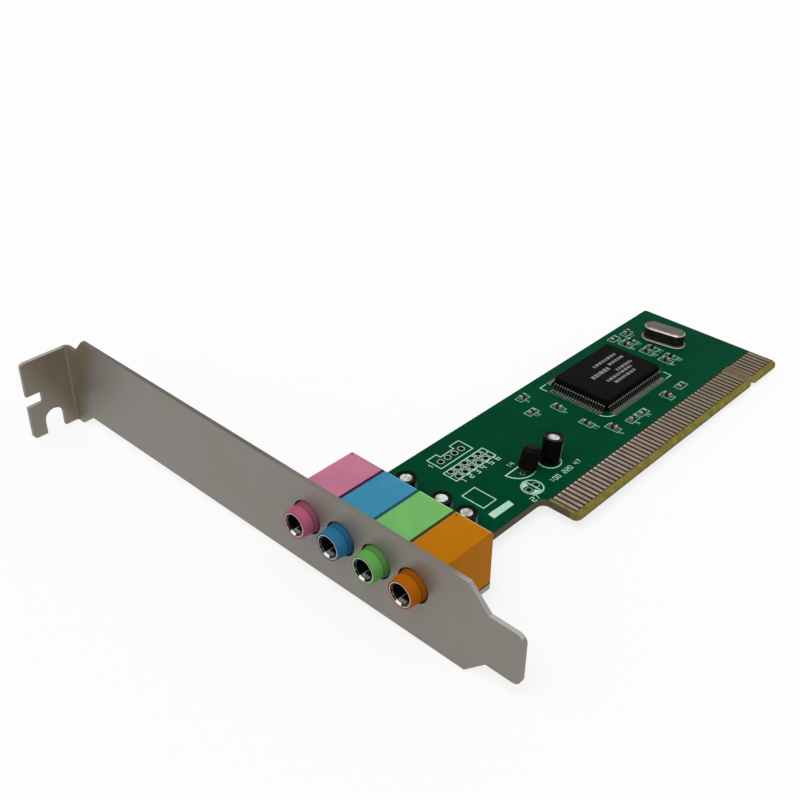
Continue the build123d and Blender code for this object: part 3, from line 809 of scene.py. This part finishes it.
def room(pin):
    # Half the way from a pin to the nearest other pin, or the way to a foot of the bracket if that is less
    ways = [math.dist(pin, other) / 2 for other in pins if other != pin]
    for across, up in feet:
        beyond = max(pin[0] - across - foot_past_rivet, 0)
        beside = max(abs(pin[1] - up) - foot_half_width, 0)
        ways.append(math.hypot(beyond, beside))
    return min(ways)


def along(points, spacing=0.3):
    # Places at about even spacing on a line
    places = []
    for (a, b), (c, d) in zip(points, points[1:]):
        count = math.ceil(math.hypot(c - a, d - b) / spacing)
        places += [(a + (c - a) * step / count, b + (d - b) * step / count) for step in range(count + 1)]
    return places


pins = pin_ends()
feet = [board_place((low + high) / 2) for low, high in islands("bracket_rivets")]
small_bodies = islands("ceramic_capacitor_bodies") + islands("chip_resistor_bodies")
small_ends = islands("ceramic_capacitor_terminals") + islands("chip_resistor_terminals")


def add_ink_outlines():
    # Printed outlines of the fitted and unfitted parts
    piece = Piece("ink_outlines", ink)
    round_line = 0.24
    spare_line = 0.26
    transistor_line = 0.28
    ring_sides = 32

    def draw(points, width=ink_line, closed=False):
        piece.line(points, width, ink_low, ink_high, closed)

    # Chip: two corner marks and an arc at the first pin
    draw([(71.2, 23.1), (69.15, 23.1), (69.15, 21.2)])
    draw([(91.2, 5.77), (93.14, 5.77), (93.14, 7.7)])
    draw(arc(72.1, 8.5, radius=2.75, start=190, end=262, count=10), round_line)
    # Four pin header with a recess in one side
    draw([
        (33.05, 19.3), (42.4, 19.3), (42.4, 23.05), (39.7, 23.05), (39.7, 21.95), (35.75, 21.95),
        (35.75, 23.05), (33.05, 23.05),
    ], closed=True)
    # Two row header with a cell for each pin
    draw(rectangle(37.95, 16.35, width=11.6, height=3.4), closed=True)
    draw([(32.2, block_middle[1]), (43.7, block_middle[1])], fine_line)
    for column in block_columns:
        across = block_middle[0] + hole_pitch * (column + 0.5)
        draw([(across, 14.7), (across, 18.0)], fine_line)
    # Transistor: a flat side and a round side
    draw(arc(43.6, 9.35, radius=3.75, start=184, end=356, count=28), transistor_line, closed=True)
    # Spare capacitor: a ring, with a line beside its filled half
    draw(circle(*spare_middle, spare_ring_radius, ring_sides), spare_line, closed=True)
    draw([(41.0, 5.3), (41.0, 1.2)], spare_line)
    # Fitted capacitors
    for across, up, _ in capacitors:
        draw(circle(across, up, capacitor_ring_radius, ring_sides), round_line, closed=True)
    # A blank field and a bar
    draw(rectangle(31.2, 8.4, width=3.6, height=5.2), closed=True)
    piece.slab([(28.45, 2.55), (34.15, 2.5), (34.35, 3.95), (28.65, 4.15)], ink_low, ink_high)
    piece.done()


def add_ink_spare_half():
    # The filled half of the spare capacitor's ring, around its pad
    piece = Piece("ink_spare_half", ink)
    steps = 18
    outer = arc(*spare_middle, radius=2.1, start=80, end=280, count=steps)
    inner = arc(spare_spots[0][0], spare_middle[1], radius=1.05, start=40, end=320, count=steps)
    for here in range(steps):
        piece.slab([outer[here], outer[here + 1], inner[here + 1], inner[here]], ink_low, ink_high)
    piece.done()


def add_ink_small_parts():
    # A printed frame around each small part, with a plain number below it where the board has room
    piece = Piece("ink_small_parts", faint_ink)
    frame_length = 3.0
    frame_width = 1.65
    number_height = 0.85
    number_drop = 1.05
    number_shift = 0.6
    lowest_number = 0.2
    first_number = 3
    for number, (low, high) in enumerate(small_bodies, first_number):
        across, up = board_place((low + high) / 2)
        lying = high.x - low.x > high.y - low.y
        width, height = (frame_length, frame_width) if lying else (frame_width, frame_length)
        piece.line(rectangle(across, up, width, height), fine_line, ink_low, ink_high, closed=True)
        below = up - height / 2 - number_drop
        if below > lowest_number:
            piece.digits(str(number), across - number_shift, below, number_height)
    piece.done()


def add_ink_numbers():
    # Plain numbers beside the larger places
    piece = Piece("ink_numbers", ink)
    for number, across in enumerate((33.0, 34.95, 36.8, 38.7, 40.8, 42.8), 1):
        piece.digits(str(number), across, 13.2, height=1.25)
    piece.digits("1", 31.9, 20.7, height=1.2)
    piece.digits("14", 42.5, 10.1, height=1.0)
    piece.digits("27", 37.4, 0.25, height=1.2)
    piece.digits("100 220 47", 44.6, 1.3, height=1.0)
    piece.done()


def add_pads():
    # Tinned rings around the empty holes on both faces, and around the pins on the component side
    piece = Piece("tinned_pads", tin)
    ring_width = 0.16
    ring_sides = 16
    hole_ring_radius = 0.68
    pin_ring_radius = 0.66
    least_ring_radius = 0.4
    ring_gap = 0.14
    for across, up in header_spots + block_spots + spare_spots:
        for face in (top_pad, bottom_pad):
            piece.line(circle(across, up, hole_ring_radius, ring_sides), ring_width, *face, closed=True)
    for pin in pins:
        radius = max(min(pin_ring_radius, room(pin) - ring_gap), least_ring_radius)
        piece.line(circle(*pin, radius, ring_sides), ring_width, *top_pad, closed=True)
    piece.done()


def add_surface_pads():
    # A pad under each foot of the chip, and pads with solder at the small parts' ends
    piece = Piece("surface_pads", dull_tin)
    pad_length = 1.0
    pad_width = 0.36
    pad_shift = 0.65
    end_pad = 0.9
    solder_margin = 0.14
    solder_rise = 0.16
    body_low, body_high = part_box("controller_chip_body")
    middle = (body_low + body_high) / 2 / MM
    for low, high in islands("controller_chip_leads"):
        across, up = board_place((low + high) / 2)
        out = (low + high) / 2 - middle
        if high.x - low.x > high.y - low.y:
            shift = math.copysign(pad_shift, out.x)
            piece.slab(rectangle(across + shift, up, pad_length, pad_width), *top_pad)
        else:
            shift = math.copysign(pad_shift, out.y)
            piece.slab(rectangle(across, up + shift, pad_width, pad_length), *top_pad)
    for low, high in small_ends:
        across, up = board_place((low + high) / 2)
        piece.slab(rectangle(across, up, end_pad, end_pad), *top_pad)
        wedge = rectangle(across, up, high.x - low.x + solder_margin, high.y - low.y + solder_margin)
        piece.slab(wedge, ink_low, top_z + solder_rise)
    piece.done()


def add_solder():
    # Solder cones around the pins under the board
    piece = Piece("solder", finishes["tinned_lead"])
    widest_foot = 0.85
    least_foot = 0.36
    foot_gap = 0.1
    tip_radius = 0.3
    tip_depth = 0.75
    waist_share = 0.6
    waist_depth = 0.3
    lip_width = 0.03
    lip_depth = 0.05
    for pin in pins:
        foot = max(min(widest_foot, room(pin) - foot_gap), least_foot)
        cone = [
            (foot, layer_sink), (foot - lip_width, -lip_depth),
            (foot * waist_share, -waist_depth), (tip_radius, -tip_depth),
        ]
        piece.turned(*pin, [(radius, bottom_z + z) for radius, z in cone])
    piece.done()


def add_via(piece, across, up, radius, side):
    low, high = side
    piece.turned(across, up, [(radius, low - trace_height), (radius, high + trace_height)])


def add_stubs(piece, side, contacts):
    # A short trace above each contact, of uneven length, with a via at its end
    stub_width = 0.3
    stub_start = 0.3
    stub_turn = 0.9
    stub_end = 1.8
    stub_step = 0.55
    jog_step = 0.3
    via_radius = 0.34
    for number, (low, high) in enumerate(islands(contacts)):
        across, up = board_place(Vector(((low.x + high.x) / 2, high.y)))
        jog = jog_step * (number % 3 - 1)
        aside = across + jog
        turn = up + stub_turn
        end = up + stub_end + stub_step * (number * 5 % 4)
        stub = [(across, up + stub_start), (across, turn), (aside, turn + abs(jog)), (aside, end)]
        piece.line(stub, stub_width, *side)
        add_via(piece, aside, end, via_radius, side)


def add_runs(piece, side):
    # A trace from each pin, where it keeps clear of the holes, the other pins and the other traces
    run_width = 0.4
    run_out = 1.2
    run_turn = 2.2
    run_end = 2.0
    level_step = 1.5
    clearance = 1.2
    via_radius = 0.45
    lowest_level = 1.5
    lowest_pin = 2.0
    nearest_turn = 12.0
    turned_back_past = 60
    taken = header_spots + block_spots + spare_spots
    for number, pin in enumerate(pins):
        across, up = pin
        others = taken + [other for other in pins if other != pin]
        for way in (-1, 1) if across > turned_back_past else (1, -1):
            turn = across + way * (run_turn + number * 7 % 5)
            level = up + level_step * (number % 3 - 1)
            run = [pin, (across + way * run_out, up), (turn, level), (turn + way * run_end, level)]
            places = along(run)
            on_board = level > lowest_level and up > lowest_pin and turn > nearest_turn
            if on_board and min(math.dist(here, there) for here in places for there in others) > clearance:
                piece.line(run, run_width, *side)
                add_via(piece, *run[-1], via_radius, side)
                taken = taken + places
                break


def add_traces():
    # Copper under the mask: stubs above the contacts, runs underneath and a few vias of their own
    piece = Piece("masked_traces", masked_copper)
    via_radius = 0.42
    lone_vias = [(104.1, 22.2), (102.5, 9.3), (58.2, 14.5), (56.0, 21.0), (95.5, 4.4), (66.9, 22.2)]
    add_stubs(piece, top_trace, "edge_contacts_component_side")
    add_stubs(piece, bottom_trace, "edge_contacts_solder_side")
    add_runs(piece, bottom_trace)
    for across, up in lone_vias:
        add_via(piece, across, up, via_radius, top_trace)
    piece.done()


def add_chip_marks():
    # Rows of short bars on the chip's top, each row from its level, start, end and height
    piece = Piece("chip_marks", chip_ink)
    shortest_bar = 0.45
    bar_step = 0.2
    bar_gap = 0.3
    low = top_z + chip_top - layer_sink
    high = top_z + chip_top + trace_height
    rows = [
        (17.3, 80.0, 88.0, 0.75), (15.6, 83.2, 88.6, 0.75), (14.9, 76.2, 82.0, 1.1),
        (13.2, 82.6, 88.2, 0.75), (12.0, 77.6, 86.6, 0.75), (10.6, 78.4, 85.4, 0.75),
    ]
    for order, (up, start, end, height) in enumerate(rows):
        across = start
        number = order
        while across < end:
            length = shortest_bar + bar_step * (number * 3 % 4)
            piece.slab(rectangle(across + length / 2, up, length, height), low, high)
            across += length + bar_gap
            number += 1
    piece.done()


def add_sleeve_stripes():
    # A pale stripe up one side of each capacitor's sleeve
    piece = Piece("sleeve_stripes", sleeve_ink)
    steps = 6
    stripe_start = -84
    stripe_sweep = 30
    stripe_low = 0.3
    stripe_high = 4.7
    stripe_sink = 0.03
    stripe_height = 0.02
    inner = capacitor_radius - stripe_sink
    outer = capacitor_radius + stripe_height
    corners = [(inner, stripe_low), (outer, stripe_low), (outer, stripe_high), (inner, stripe_high)]
    for across, up, lean in capacitors:
        tilt = math.radians(lean)
        base = Vector((*flat([(across, up)])[0], top_z + capacitor_radius * math.sin(tilt)))
        pose = Matrix.Translation(base) @ Matrix.Rotation(tilt, 4, "Y")
        loops = []
        for step in range(steps + 1):
            turn = math.radians(stripe_start + stripe_sweep * step / steps)
            loops.append([pose @ Vector((r * math.cos(turn), r * math.sin(turn), z)) for r, z in corners])
        piece.skin(loops)
    piece.done()


def add_jack_dots():
    # Small round moulding marks at the inner corners of two jack tops
    piece = Piece("jack_dots", dot_dark)
    dot_radius = 0.2
    dot_sides = 12
    from_corner = 0.75
    for name in ("rear", "mic"):
        _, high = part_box(f"{name}_jack_housing")
        across, up = board_place(high / MM)
        top = high.z / MM
        profile = [(dot_radius, top - layer_sink), (dot_radius, top + trace_height)]
        piece.turned(across - from_corner, up - from_corner, profile, dot_sides)
    piece.done()


add_ink_outlines()
add_ink_spare_half()
add_ink_small_parts()
add_ink_numbers()
add_pads()
add_surface_pads()
add_solder()
add_traces()
add_chip_marks()
add_sleeve_stripes()
add_jack_dots()


# Floor under the three points that the card rests on, and plain soft light
scene.view_settings.view_transform = "Standard"

tab_rest = Vector((-109, 102.6, -6.505)) * MM
plate_rest = Vector((-103.5, -6.455, -3.335)) * MM
lead_rest = Vector((0.7, 22.8, -1.885)) * MM
rest_up = (lead_rest - plate_rest).cross(tab_rest - plate_rest).normalized()
lowest = min(rest_up.dot(v.co) for node in frame["nodes"].values() for v in node.data.vertices)


def white_to_camera(nodes, links, shader, glow_kind, share):
    # White to the eye and in reflections by a share, and a plain surface or light otherwise
    path = nodes.new("ShaderNodeLightPath")
    glow = nodes.new(glow_kind)
    glow.inputs["Color"].default_value = (1, 1, 1, 1)
    glow.inputs["Strength"].default_value = 1.0
    seen = path.outputs["Is Camera Ray"]
    for kind in ["Is Glossy Ray", "Is Transmission Ray"]:
        most = nodes.new("ShaderNodeMath")
        most.operation = "MAXIMUM"
        links.new(seen, most.inputs[0])
        links.new(path.outputs[kind], most.inputs[1])
        seen = most.outputs[0]
    part = nodes.new("ShaderNodeMath")
    part.operation = "MULTIPLY"
    links.new(seen, part.inputs[0])
    part.inputs[1].default_value = share
    mix = nodes.new("ShaderNodeMixShader")
    links.new(part.outputs[0], mix.inputs[0])
    links.new(shader.outputs[0], mix.inputs[1])
    links.new(glow.outputs[0], mix.inputs[2])
    return mix.outputs[0]


def make_floor():
    # A pale sheet in the plane that the card rests on, its reach in metres
    reach = 1.5
    mesh = bpy.data.meshes.new("floor")
    side = Vector((1, 0, 0)).cross(rest_up).normalized()
    ahead = rest_up.cross(side)
    foot = rest_up * lowest
    corners = [(-reach, -reach), (reach, -reach), (reach, reach), (-reach, reach)]
    mesh.from_pydata([foot + side * a + ahead * b for a, b in corners], [], [(0, 1, 2, 3)])
    floor = bpy.data.objects.new("floor", mesh)
    scene.collection.objects.link(floor)
    paper = bpy.data.materials.new("floor_paper")
    paper.use_nodes = True
    nodes = paper.node_tree.nodes
    links = paper.node_tree.links
    nodes.remove(nodes["Principled BSDF"])
    matt = nodes.new("ShaderNodeBsdfDiffuse")
    matt.inputs["Color"].default_value = (0.92, 0.92, 0.92, 1)
    surface = white_to_camera(nodes, links, matt, "ShaderNodeEmission", share=0.8)
    links.new(surface, nodes["Material Output"].inputs["Surface"])
    mesh.materials.append(paper)


def make_world():
    world = bpy.data.worlds.new("studio")
    scene.world = world
    world.use_nodes = True
    nodes = world.node_tree.nodes
    links = world.node_tree.links
    sky = nodes["Background"]
    sky.inputs["Color"].default_value = (1, 1, 1, 1)
    sky.inputs["Strength"].default_value = 0.55
    surface = white_to_camera(nodes, links, sky, "ShaderNodeBackground", share=1.0)
    links.new(surface, nodes["World Output"].inputs["Surface"])


def make_sun(name, towards, strength, softness):
    # A lamp far away, its softness in degrees
    lamp = bpy.data.lights.new(name, "SUN")
    lamp.energy = strength
    lamp.angle = math.radians(softness)
    obj = bpy.data.objects.new(name, lamp)
    obj.rotation_euler = Vector(towards).to_track_quat("-Z", "Y").to_euler()
    scene.collection.objects.link(obj)


def make_camera():
    # The photograph's camera, solved from the card's known sizes, its place in metres
    camera = bpy.data.objects.new("camera", bpy.data.cameras.new("camera"))
    camera.location = (-0.202947, -0.083741, 0.129823)
    camera.rotation_euler = [math.radians(turn) for turn in (56.695, -0.562, -46.845)]
    camera.data.lens = 50.57
    camera.data.sensor_width = 36
    camera.data.clip_start = 0.01
    scene.collection.objects.link(camera)
    scene.camera = camera


make_floor()
make_world()
make_sun("key", towards=(0.42, 0.08, -0.9), strength=1.5, softness=40)
make_camera()
